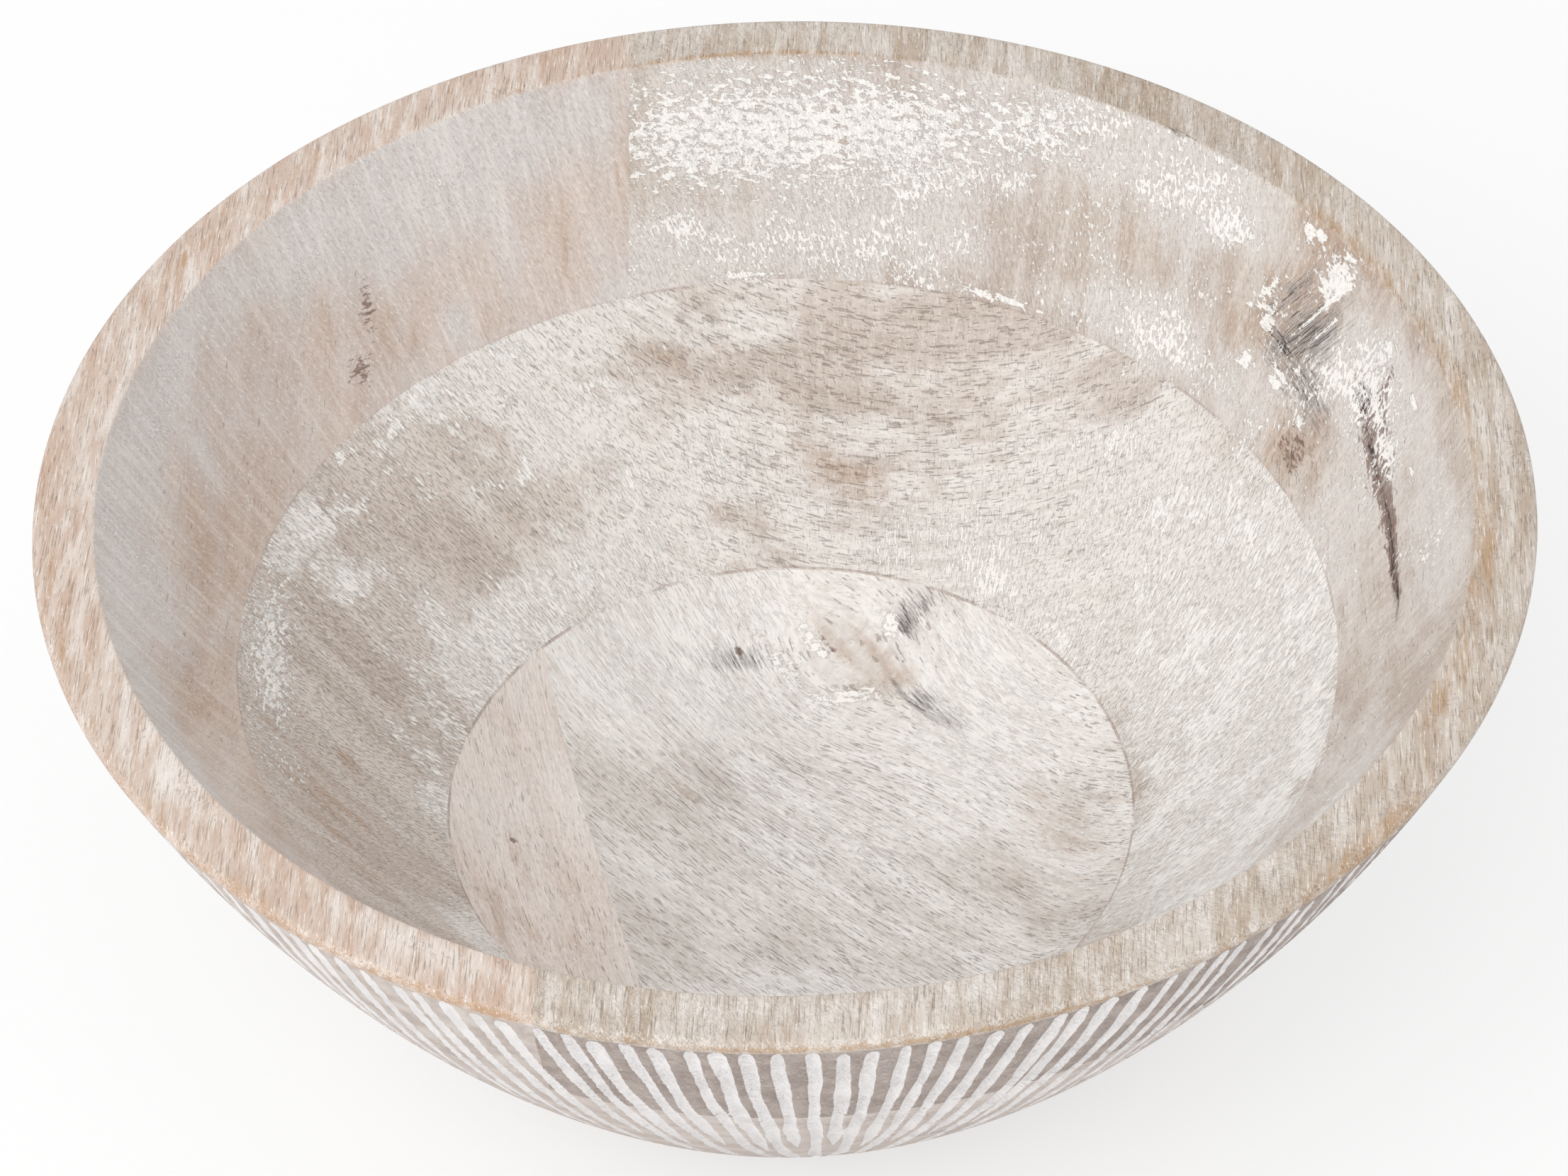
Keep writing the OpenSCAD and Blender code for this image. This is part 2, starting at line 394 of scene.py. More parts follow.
# kind, angle in degrees, distance along the surface from the rim's middle (below 0 inside),
# half length, half width, tilt in degrees, strength
wall_marks = {
    "top_left": [
        ("wash", 118, -18, 40, 12, 0, 0.8),
        ("wash", 165, -13, 60, 8, 0, 0.8),
        ("wash", 200, -16, 50, 11, 0, 0.8),
        ("wash", 163, -34, 5, 11, 0, 0.5),
        ("wash", 127, -49, 4, 6, 0, 0.6),
        ("brown", 188, -44, 56, 13, 0, 0.6),
        ("brown", 120, -46, 20, 12, 0, 0.25),
        ("rust", 135.5, -36, 3, 7, 20, 0.55),
        ("rust", 139.5, -46, 3.8, 4, 0, 0.66),
        ("brown", 137, -41, 9, 14, 20, 0.5),
        ("brown", 195, 3, 36, 3, 0, 0.35),
        ("brown", 222, 5, 40, 2.5, 0, 0.5),
        ("brown", 150, 0, 40, 3, 0, 0.35),
        ("brown", 245, 6.5, 30, 1.2, 0, 0.7),
        ("wash", 214, -3, 14, 4, 0, 0.9),
        ("wash", 240, -3, 30, 3, 0, 0.7),
    ],
    "top_right": [
        ("paint", 101, -22, 24, 20, 0, 0.54),
        ("paint", 87, -23, 24, 20, 0, 0.48),
        ("paint", 74, -20, 24, 17, 0, 0.49),
        ("paint", 63, -15, 14, 10, 0, 0.46),
        ("wash", 92, -47, 40, 8, 0, 0.45),
        ("wash", 86, -20, 60, 16, 0, 0.25),
        ("paint", 94, -54.5, 9, 1.2, 0, 0.8),
        ("paint", 66, -54.3, 16, 1.4, 0, 0.75),
        ("brown", 82, -27, 9, 5, 30, 0.6),
        ("brown", 52, -36, 30, 10, 0, 0.42),
        ("wash", 50, -49, 26, 5, 0, 0.8),
        ("wash", 47, -18, 26, 6, 0, 0.7),
        ("brown", 34.5, -9, 8, 4.5, 5, 1.1),
        ("paint", 35.3, -9.7, 3.8, 1.8, 44, 0.85),
        ("paint", 33.6, -9, 3.0, 1.4, 46, 0.85),
        ("paint", 29.8, -13.5, 9, 6, 121, 0.8),
        ("brown", 34.4, -24, 13, 5, 114, 0.9),
        ("slate", 34.2, -23.3, 14, 2.8, 114, 0.3),
        ("paint", 36.6, -27, 10, 3.4, 112, 0.62),
        ("paint", 34.8, -32, 4, 2.2, 90, 0.8),
        ("slate", 29.6, -27, 12, 10, 113, 0.44),
        ("slate", 28.5, -29, 17, 14, 113, 0.16),
        ("dark", 30, -36.5, 15, 8, 10, 0.42),
        ("dark", 24, -38, 12, 5, 10, 0.36),
        ("paint", 30.2, -24, 8, 0.5, 113, 1.0),
        ("paint", 28.4, -25, 6, 0.5, 113, 0.9),
        ("paint", 28.5, -36, 9, 0.9, 10, 0.66),
        ("paint", 30.5, -39, 8, 0.9, 10, 0.62),
        ("wash", 26, -34, 12, 12, 0, 0.5),
        ("wash", 12, -31, 18, 5, 14, 0.7),
        ("dark", 33, -33, 4, 3, 10, 0.4),
        ("brown", 27, -32, 18, 14, 10, 0.9),
        ("wash", 22.6, -24, 9, 6, 0, 1.0),
        ("paint", 30.6, -41.5, 2.8, 2.2, 0, 0.85),
        ("paint", 35.2, -42.3, 4, 3, 0, 0.75),
        ("paint", 24.9, -43.2, 2.8, 1.8, 0, 0.8),
        ("rust", 23.5, -48.2, 8, 6, 0, 0.55),
        ("wash", 23.5, -48.2, 9, 7, 0, -1.2),
        ("brown", 23.5, -48.2, 9, 6, 0, 0.6),
        ("paint", 20.2, -17, 5.5, 2.8, 100, 0.8),
        ("rust", 17.7, -21, 6.5, 1.6, 60, 0.7),
        ("dark", 19.8, -27, 4, 2.4, 14, 1.0),
        ("rust", 16.2, -27.6, 5, 2.2, 20, 0.9),
        ("rust", 14.6, -30.2, 16, 5.0, 17, 1.0),
        ("dark", 14.8, -32.4, 13, 1.0, 17, 0.85),
        ("dark", 14, -28, 11, 0.8, 17, 0.7),
        ("rust", 4.6, -34.8, 15, 2.2, 7.6, 0.9),
        ("dark", 5, -35.4, 15, 1.1, 7.6, 0.85),
        ("dark", -3.6, -36.2, 11, 0.9, -3.8, 0.85),
        ("rust", -3.6, -35.6, 12, 1.5, -3.8, 0.55),
        ("paint", 13.4, -17, 3.2, 1.2, 0, 1.0),
        ("paint", 7.7, -24.6, 2.8, 0.8, 22, 1.0),
        ("wash", 0, -18, 40, 6, 0, 0.6),
        ("wash", -60, -22, 60, 14, 0, 0.7),
        ("brown", 28, -6, 14, 2.6, 0, 0.9),
        ("brown", 12, -5, 18, 2.6, 0, 0.8),
        ("brown", -8, -4.5, 22, 3, 0, 0.75),
        ("brown", -26, -3, 16, 3, 0, 0.6),
        ("brown", -42, 5, 16, 2.5, 0, 1.0),
        ("dark", 51, -6, 6, 1.3, 0, 0.75),
        ("dark", 33, -0.7, 5, 2, 0, 0.3),
        ("brown", 92, -6, 40, 1.0, 0, 0.9),
        ("brown", -80, 6.8, 90, 1.0, 0, 0.9),
        ("wash", -85, -2, 60, 3, 0, 0.5),
    ],
    "middle_back": [
        ("brown", 103, -69, 10, 9, 0, 0.36),
        ("brown", 83, -61, 10, 7, 0, 0.4),
        ("brown", 103, -107, 18, 5, -15, 0.38),
        ("brown", 84, -100, 20, 10, 0, 0.5),
        ("wash", 118, -84, 12, 12, 0, 0.6),
        ("paint", 124.6, -69, 3, 4, 80, 0.55),
        ("paint", 147.6, -58, 3, 1.4, 0, 1.0),
        ("paint", 170, -63, 20, 9, 0, 0.48),
        ("paint", 182, -68, 18, 12, 0, 0.5),
        ("wash", 160, -62, 24, 6, 0, 0.3),
        ("wash", 167, -88, 62, 32, 0, -0.95),
        ("wash", 157, -78, 12, 5, 30, 0.8),
        ("wash", 150, -95, 7, 10, 20, 0.7),
        ("wash", 174, -102, 22, 4, 10, 0.2),
        ("wash", 136, -112, 36, 11, 0, 1.1),
        ("brown", 184, -90, 5, 4, 0, 0.8),
        ("wash", 20, -80, 50, 18, 0, 0.55),
        ("wash", -2, -88, 30, 20, 0, 1.6),
        ("wash", 55, -112, 24, 8, 0, 1.2),
    ],
    "middle_front": [
        ("brown", 196, -78, 30, 18, 0, 0.5),
        ("paint", 193, -70, 18, 12, 0, 0.46),
        ("wash", 202, -84, 44, 30, 0, -1.1),
        ("wash", 207, -104, 20, 12, 0, 0.45),
        ("wash", -40, -84, 60, 30, 0, 2.3),
    ],
}
print("marks on the wall:", {name: len(marks) for name, marks in wall_marks.items()})

# %% Marks on the floor
# kind, x, y, half length, half width, tilt in degrees, strength
floor_marks = {
    "base_left": [
        ("brown", -58, -24, 20, 26, 0, 0.45),
        ("rust", -58.9, 0.7, 0.9, 0.9, 0, 1.2),
        ("wash", -46, 22, 9, 26, 15, 0.5),
    ],
    "base_right": [
        ("wash", -20, 54, 30, 16, 20, 2.0),
        ("wash", 44, 42, 14, 16, -30, 1.8),
        ("wash", 40, 26, 10, 8, 0, 0.8),
        ("slate", 29, 62, 6, 4, 10, 0.48),
        ("slate", 26, 59, 2, 3, 20, 0.4),
        ("slate", 34, 38, 16, 4, -40, 0.42),
        ("slate", 28, 43, 6, 4, -38, 0.24),
        ("slate", -11, 55, 11, 4, 5, 0.48),
        ("wash", -9, 56, 13, 7, 0, -1.6),
        ("slate", -22, 26, 28, 11, -46, 0.2),
        ("slate", 4, 2, 34, 20, -46, 0.2),
        ("rust", -10.5, 57.1, 0.9, 0.9, 0, 1.2),
        ("rust", -10.5, 63, 3, 3, 0, 0.4),
        ("rust", 15, 67, 8, 0.9, -10, 0.52),
        ("rust", 9, 58, 10, 0.7, -50, 0.46),
        ("rust", 16, 58, 10, 0.7, -52, 0.46),
        ("rust", 10, 51, 8, 0.6, -42, 0.42),
        ("brown", 13, 55, 16, 9, -35, 0.5),
        ("brown", 9, 60, 13, 1.6, -50, 0.8),
        ("brown", 17, 58, 13, 1.6, -52, 0.7),
        ("brown", 18, 47, 10, 2.5, 15, 0.6),
        ("paint", -1, 54, 11, 2.4, -48, 0.64),
        ("paint", 6, 58.5, 7, 2.4, -52, 0.68),
        ("paint", 14, 45.5, 10, 2.8, 8, 0.76),
        ("paint", 22.6, 60.5, 3, 4, 10, 0.76),
        ("brown", 55, 2, 10, 20, 10, 0.7),
        ("wash", 56, -6, 9, 14, 10, 0.7),
        ("wash", 30, 5, 20, 10, 0, 0.3),
        ("brown", -24, 24, 14, 6, -46, 0.4),
    ],
}
print("marks on the floor:", {name: len(marks) for name, marks in floor_marks.items()})

# %% Fields of a board
# Radius at which the way round the bowl is measured
around_r = 120.0
# A distance at which no mark is felt
out_of_reach = 999.0


def fields_of(name, turn, lip, x, y, r):
    """The fields of a board: the two distances of its grain, and for each kind of mark the sum of
    strength * exp(-(a^2 + b^2)), where a and b are the distances along and across an oval, over its
    half length and half width. Marks of the floor aren't felt outside."""
    sums = {kind: np.zeros(turn.shape) for kind in kinds}
    offsets = []
    for mark in wall_marks.get(name, []):
        swing = (turn - math.radians(mark[1]) + np.pi) % (2 * np.pi) - np.pi
        offsets.append((mark, swing * r, lip - mark[2]))
    for mark in floor_marks.get(name, []):
        offsets.append((mark, x - mark[1], np.where(lip < 0, y - mark[2], out_of_reach)))
    for (kind, _, _, long, wide, tilt, strength), aside, across in offsets:
        c, s = math.cos(math.radians(tilt)), math.sin(math.radians(tilt))
        a, b = (aside * c + across * s) / long, (across * c - aside * s) / wide
        sums[kind] += strength * np.exp(-(a**2) - b**2)
    sums["along"], sums["across"] = fibre_of(name, x, y)
    return sums


print("fields of a board:", sorted(fields_of("base_left", *np.zeros((5, 1)))))

# %% [markdown]
# ## Meshes
# The arrays go into Blender in one step. Turned faces are smooth. Glue faces and board ends are
# flat, and every edge of a flat face is marked sharp, so that the light doesn't bend over a joint.
# The fields ride on the points as attributes, where a material can read them.


# %% Arrays to a mesh
def finish_board(name, points, groups, smooth, fields):
    """Puts arrays into a mesh: points in mm, groups of faces as rows of point numbers, whether each
    face is smooth, and one attribute per field."""
    mesh = bpy.data.meshes.new(name)
    faces = sum((group.tolist() for group in groups), [])
    mesh.from_pydata((points * MM).tolist(), [], faces)
    mesh.polygons.foreach_set("use_smooth", smooth)
    edge_of_corner = np.empty(len(mesh.loops), np.int32)
    mesh.loops.foreach_get("edge_index", edge_of_corner)
    corners = np.concatenate([np.full(len(group), group.shape[1]) for group in groups])
    sharp = np.isin(np.arange(len(mesh.edges)), edge_of_corner[np.repeat(~smooth, corners)])
    mesh.attributes.new("sharp_edge", "BOOLEAN", "EDGE").data.foreach_set("value", sharp)
    for field, values in fields.items():
        values = np.ascontiguousarray(values, np.float32).ravel()
        mesh.attributes.new(field, "FLOAT", "POINT").data.foreach_set("value", values)
    mesh.update()
    board = bpy.data.objects.new(name, mesh)
    bpy.context.scene.collection.objects.link(board)
    print(f"{name}: {len(points)} points, {len(faces)} faces")
    return board


# %% A board of the wall
samples_per_flute = 8
# Cracks are sunk by this depth, from this far below the mouth
crack_depth, crack_start = 0.6, 2.0


def wall_board(name, layer, side, section):
    """Ring segment of one layer. Angle = facing + s * acos(joint / radius), with s from -1 to 1."""
    r, z, lip, patch = section
    facing, back = facing_of(layer, side)
    most = np.arccos(back / r)
    columns = int(most.max() / np.pi * flute_n * samples_per_flute)
    turn = facing + most[:, None] * np.linspace(-1, 1, columns)[None, :]
    r, z, lip = (np.broadcast_to(a[:, None], turn.shape) for a in (r, z, lip))
    distance, hollow = flute_distance(turn, lip - rim_half, r)
    outside = lip > rim_half + rim_ease
    fields = fields_of(name, turn, lip, r * np.cos(turn), r * np.sin(turn), r)
    fields |= {"lip": lip, "around": turn * around_r, "flute": np.where(outside, distance, no_flute)}
    fields["end"] = np.cos(turn - math.radians(grains[name])) ** 2
    inside = np.clip(-lip - rim_half - crack_start, 0, 1)
    r = r + crack_depth * np.clip(fields["dark"], 0, 1) * inside - np.where(outside, hollow, 0.0)
    points = np.stack([r * np.cos(turn), r * np.sin(turn), z], axis=-1).reshape(-1, 3)
    rows = len(patch)
    at = np.arange(rows * columns).reshape(rows, columns)
    above = np.roll(at, -1, axis=0)
    quads = np.stack([at[:, :-1], at[:, 1:], above[:, 1:], above[:, :-1]], axis=-1).reshape(-1, 4)
    ends = np.stack([at[:, 0], at[::-1, -1]])
    smooth = np.concatenate([np.repeat(patch == 0, columns - 1), [False, False]])
    return finish_board(name, points, [quads, ends], smooth, fields)


# %% A board of the base
# Rings on the floor, down the wall and round the foot's edge, and points along the edge joint
floor_rings, wall_rings, foot_rings, joint_points = 56, 32, 6, 60
# Rings under the foot, as shares of its outline. The last one is the point in the middle.
under_shares = (0.8, 0.5, 0.2, 0.0)


def base_rings(facing, back, heart):
    """Rings of a base board from the floor to the foot, as x, y, z, lip and flute arrays, and the
    numbers of its arc's columns, floor rings and wall rings. x runs along the facing.
    Rings on the floor and under the foot shrink towards the heart in straight lines."""
    ease_c = np.array([radius_at(outer, foot_ease, -foot_ease), foot_ease])
    ease_end = touch(*outer, ease_c)
    z_wall = np.linspace(mid_low, ease_end[1], wall_rings)
    foot = rounded_edge(ease_c, foot_ease, direction(ease_c, ease_end), -np.pi / 2, foot_rings)
    radii = np.concatenate([radius_at(outer, z_wall), foot[0][1:]])
    heights = np.concatenate([z_wall, foot[1][1:]])
    arc_n = int(math.acos(back / radii[0]) / np.pi * flute_n * samples_per_flute)

    grow = np.linspace(0, 1, floor_rings)[1:, None]
    x_heel, y_heel = ring(heel_r, back, arc_n, joint_points)
    x_floor, y_floor = heart + grow * (x_heel - heart), grow * y_heel
    r_floor = np.hypot(x_floor, y_floor)
    x_wall, y_wall = np.array([ring(radius, back, arc_n, joint_points) for radius in radii]).swapaxes(0, 1)
    r_wall = np.hypot(x_wall, y_wall)
    shrink = np.array(under_shares)[:, None]
    x_foot, y_foot = heart + shrink * (x_wall[-1] - heart), shrink * y_wall[-1]

    down = rim_half + depth_along(outer, heights)[:, None] + 0 * x_wall
    distance, hollow = flute_distance(np.arctan2(y_wall, x_wall) + facing, down - rim_half, r_wall)
    fluted = (heights > foot_ease)[:, None] & (np.arange(arc_n + joint_points) < arc_n)[None, :]
    cut = 1 - np.where(fluted, hollow, 0) / r_wall

    x = np.concatenate([x_floor, x_wall * cut, x_foot])
    y = np.concatenate([y_floor, y_wall * cut, y_foot])
    z = np.concatenate([inside_z(r_floor), heights[:, None] + 0 * x_wall, 0 * x_foot])
    lip = np.concatenate([-inside_way(r_floor), down, np.full(x_foot.shape, down.max())])
    flute = np.full(x.shape, no_flute)
    flute[len(grow) : len(grow) + len(radii)] = np.where(fluted, distance, no_flute)
    return (x, y, z, lip, flute), (arc_n, len(grow), len(radii))


def base_faces(rows, columns, arc_n, floor_n, wall_n):
    """Faces of a stack of rings, in groups, and which of them are smooth. The columns along the
    joint belong to the floor and the foot only, and one flat face closes the joint. Fans to two
    more points, past the last number of the grid, close the floor and the foot."""
    at = np.arange(rows * columns).reshape(rows, columns)
    beside = np.roll(at, -1, axis=1)
    quads = np.stack([at[:-1], at[1:], beside[1:], beside[:-1]], axis=-1)
    row, column = np.arange(rows - 1)[:, None], np.arange(columns)[None, :]
    first_wall, last_wall = floor_n - 1, floor_n + wall_n - 1
    between = (row >= first_wall) & (row < last_wall)
    kept = ~(between & (column >= arc_n - 1)) & (row < rows - 2)
    smooth = ((row < first_wall) | (between & (row > first_wall))) & kept
    wall_at = at[first_wall + 1 : last_wall + 1]
    joint = [
        at[first_wall, arc_n - 1 :],
        at[first_wall, :1],
        wall_at[:, 0],
        at[last_wall, : arc_n - 1 : -1],
        wall_at[::-1, arc_n - 1],
    ]
    floor_pole, foot_pole = (np.full(columns, rows * columns + more) for more in (0, 1))
    floor_fan = np.stack([floor_pole, at[0], beside[0]], axis=-1)
    foot_fan = np.stack([foot_pole, beside[-2], at[-2]], axis=-1)
    groups = [quads[kept], floor_fan, foot_fan, np.concatenate(joint)[None, ::-1]]
    return groups, np.concatenate([smooth[kept], np.ones(columns, bool), np.zeros(columns + 1, bool)])


def base_board(name, side, heart):
    """Stack of rings from the floor to the foot. heart is how far along the board's facing its
    middle lies. The rings are turned to the facing, and points that no face uses are left out."""
    facing, back = facing_of("base", side)
    (x, y, z, lip, flute), counts = base_rings(facing, back, heart)
    groups, smooth = base_faces(*x.shape, *counts)
    turn = np.arctan2(y, x) + facing
    c, s = math.cos(facing), math.sin(facing)
    x, y = c * x - s * y, s * x + c * y
    fields = fields_of(name, turn, lip, x, y, np.hypot(x, y))
    fields |= {"lip": lip, "around": turn * around_r, "flute": flute, "end": 0 * lip}
    fields = {k: np.concatenate([v.ravel(), v[0, :1], v[-1, :1]]) for k, v in fields.items()}
    poles = [[c * heart, s * heart, inside_z(np.array(abs(heart)))], [c * heart, s * heart, 0.0]]
    points = np.concatenate([np.stack([x, y, z], axis=-1).reshape(-1, 3), poles])

    used = np.unique(np.concatenate([group.ravel() for group in groups]))
    renumber = np.full(len(points), -1)
    renumber[used] = np.arange(len(used))
    groups = [renumber[group] for group in groups]
    return finish_board(name, points[used], groups, smooth, {k: v[used] for k, v in fields.items()})


# %% The six boards
top_section, middle_section = rim_section(top_low), plain_section(mid_low, top_low)
boards = {
    "top_board_left": wall_board("top_left", "top", -1, top_section),
    "top_board_right": wall_board("top_right", "top", 1, top_section),
    "middle_board_back": wall_board("middle_back", "middle", 1, middle_section),
    "middle_board_front": wall_board("middle_front", "middle", -1, middle_section),
    "base_board_left": base_board("base_left", -1, heart=52.0),
    "base_board_right": base_board("base_right", 1, heart=15.0),
}
for node, board in boards.items():
    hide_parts(node)
    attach(board, "root")

# %% [markdown]
# ## Colours and nodes
# Colours are written as sRGB hex values, as a paint chart gives them, and one function turns them
# into the linear values that a shader needs. A second one adds a node, so that a finish reads as a
# list of what lies on the wood. Patterns are measured in millimetres: a noise is stretched so that
# one blot has the length and width of the real mark, and cut at a level to get a crisp edge.

# %% Helpers for finishes
# Steps by which a seed moves a pattern, in blots
seed_steps = (113.0, 71.0, 37.0)
soft_step = {"interpolation_type": "SMOOTHSTEP"}


def linear(chart):
    """Linear RGBA of an sRGB hex colour: ((c + 0.055) / 1.055) ^ 2.4 for each channel c."""
    c = np.array([int(chart[i : i + 2], 16) for i in (1, 3, 5)]) / 255
    return (*((c + 0.055) / 1.055) ** 2.4, 1.0)


def add(tree, kind, settings, links, out=0):
    """Adds a node with its settings, and its sockets as numbers, colours or links."""
    node = tree.nodes.new("ShaderNode" + kind)
    for name, value in settings.items():
        setattr(node, name, value)
    for name, value in links.items():
        if isinstance(value, bpy.types.NodeSocket):
            tree.links.new(value, node.inputs[name])
        else:
            node.inputs[name].default_value = value
    return node.outputs[out]


def blots(tree, at, size, seed, tilt=0.0, detail=3.0, rough=0.6, lift=None, level=None, soft=0.04):
    """Blots of a length and width in mm, turned by tilt degrees. A field lifts them where it is
    strong: lift is the field and its share. With a level they become islands with a soft edge."""
    place = {"Vector": at, "Location": [step * seed for step in seed_steps]}
    place |= {"Rotation": (0, 0, math.radians(tilt)), "Scale": (size[0], size[1], size[1])}
    at = add(tree, "Mapping", {"vector_type": "TEXTURE"}, place)
    value = add(tree, "TexNoise", {}, {"Vector": at, "Scale": 1.0, "Detail": detail, "Roughness": rough})
    if lift:
        value = add(tree, "Math", {"operation": "MULTIPLY_ADD"}, {0: lift[0], 1: lift[1], 2: value})
    if level is None:
        return value
    cut = {"Value": value, "From Min": level - soft, "From Max": level + soft}
    return add(tree, "MapRange", soft_step, cut)


def coated(tree, colour, coats):
    """Lays coats over a colour. Each is a paint, how strongly it covers, and where it lies."""
    for paint, cover, where in coats:
        amount = add(tree, "Math", {"operation": "MULTIPLY"}, {0: where, 1: cover})
        paint = linear(paint) if isinstance(paint, str) else paint
        colour = add(tree, "Mix", {"data_type": "RGBA"}, {0: amount, 6: colour, 7: paint}, 2)
    return colour


print("plain white is", linear("#ffffff"), "and mid grey", np.round(linear("#808080"), 3))

# %% [markdown]
# ## Whitewashed mango wood
# The bowl is mango wood, turned, sanded, rubbed with a thin lime-white wash and left matt. The eye
# sees three things: pinkish grey wood with dark pores along the grain, a milky film that is thick in
# some places and rubbed off in others, and crumbs of thicker white that stayed in the open grain.
# The boards come from different trees and lie crosswise, so each has its own tones and its own
# grain direction. The rim was sanded back to nearly bare wood, and the outside was rubbed with a
# grey-brown stain before the flutes were painted white.

# %% What each board looks like
# wood: dark and pale tone. film: colour, the level above which it shows, cover, softness of its edge.
# pores: level, cover, and how strongly the grain shows. flecks: level, cover, length and width.
# pits: cover. open: how much more wash the end grain holds. land: dark and pale tone between the
# flutes. rim: dark and pale tone of the rim.
looks = {
    "top_left": {
        "wood": ("#bfaa9c", "#d1c1b6"), "film": ("#d0cdcc", 1.02, 0.75, 0.3), "pores": (0.70, 0.2, 0.3),
        "flecks": (1.24, 0.6, (1.3, 0.6)), "pits": 0.15, "open": 0.0, "land": ("#b8aca5", "#cdc5be"),
        "rim": ("#c3a997", "#cdbdb1"),
    },
    "top_right": {
        "wood": ("#bbaca1", "#cbc0b6"), "film": ("#dbd6d2", 0.96, 0.8, 0.15), "pores": (0.68, 0.2, 0.4),
        "flecks": (1.12, 0.95, (1.6, 0.8)), "pits": 0.2, "open": 0.06, "land": ("#9d9089", "#b1a59e"),
        "rim": ("#b6a594", "#cdc3b9"),
    },
    "middle_back": {
        "wood": ("#c3b6ac", "#d8cec6"), "film": ("#eeebe7", 0.95, 0.82, 0.12), "pores": (0.62, 0.38, 0.85),
        "flecks": (1.18, 0.95, (2.8, 0.65)), "pits": 0.35, "open": 0.2, "land": ("#c0b4ad", "#d0c6c0"),
    },
    "middle_front": {
        "wood": ("#c0b2a8", "#d1c6be"), "film": ("#eeebe8", 0.95, 0.82, 0.12), "pores": (0.68, 0.3, 0.7),
        "flecks": (1.18, 0.9, (2.8, 0.65)), "pits": 0.3, "open": 0.18, "land": ("#c0b4ad", "#d0c6c0"),
    },
    "base_left": {
        "wood": ("#dccdc4", "#e8ddd6"), "film": ("#eae6e2", 1.02, 0.6, 0.24), "pores": (0.67, 0.3, 0.65),
        "flecks": (1.30, 0.6, (2.0, 0.6)), "pits": 0.1, "open": 0.0, "land": ("#c0b4ad", "#d0c6c0"),
    },
    "base_right": {
        "wood": ("#ccc4bd", "#e1dcd7"), "film": ("#f3f1ee", 0.94, 0.85, 0.22), "pores": (0.63, 0.45, 0.8),
        "flecks": (1.18, 0.6, (5.0, 0.5)), "pits": 0.1, "open": 0.0, "land": ("#c0b4ad", "#d0c6c0"),
    },
}
print(len(looks), "looks for", len(boards), "boards")

# %% [markdown]
# ## Where patterns lie
# A pattern needs places to be drawn on. For what is in the wood it is the point itself, in
# millimetres. For the grain it is the distance along and across the fibres and a small share of the
# height, because the growth rings stand nearly upright in the boards. For what a brush or a cloth
# left on the wall it is the way round the bowl and the way down from the rim, so that strokes run
# down the wall as they were wiped. On the floor the cloth followed the grain.

# %% Places
upright = 0.12
# Tilt of the brush strokes and crumbs, in degrees: on the wall from the way round, on the floor
# from the grain
wall_tilts, floor_tilts = (88.0, 70.0), (0.0, 8.0)


def places(tree, name):
    """What the patterns of a board are drawn on: its fields, the point in mm, the fibres and the
    skin, with the tilts of strokes and crumbs on the skin."""
    names = ("lip", "around", "along", "across", "flute", "end", *kinds)
    field = {k: add(tree, "Attribute", {"attribute_name": k}, {}, 2) for k in names}
    point = add(tree, "TexCoord", {}, {}, 3)
    solid = add(tree, "VectorMath", {"operation": "SCALE"}, {0: point, "Scale": 1 / MM})
    height = add(tree, "SeparateXYZ", {}, {0: solid}, 2)
    height = add(tree, "Math", {"operation": "MULTIPLY"}, {0: height, 1: upright})
    fibre = add(tree, "CombineXYZ", {}, {0: field["along"], 1: field["across"], 2: height})
    on_floor = name.startswith("base")
    skin = fibre if on_floor else add(tree, "CombineXYZ", {}, {0: field["around"], 1: field["lip"]})
    brush, crumb = floor_tilts if on_floor else wall_tilts
    return SimpleNamespace(
        field=field, solid=solid, fibre=fibre, skin=skin, brush=brush, crumb=crumb, on_floor=on_floor
    )


print(f"strokes lean {wall_tilts[0]:.0f} degrees on the wall and {floor_tilts[0]:.0f} on the floor")

# %% [markdown]
# ## Thin wash on wood
# The wash is rubbed on thin, so the wood shows through it. From below come brown places, a milky
# film with a soft edge, the sweep of the cloth, streaks and fine lines of the grain, dark pores and
# pits, and a fine grit of paint in the surface. Each is a coat with a pattern of its own size. What
# is open or raised on the wood is also listed with a height, for the relief.


# %% Thin wash
def wash_cover(tree, at):
    """How thickly the wash lies: slow clouds plus a share of the marks of wash."""
    cloud = blots(tree, at.skin, (46, 30), seed=1, rough=0.55)
    return add(tree, "Math", {"operation": "MULTIPLY_ADD"}, {0: at.field["wash"], 1: 0.4, 2: cloud})


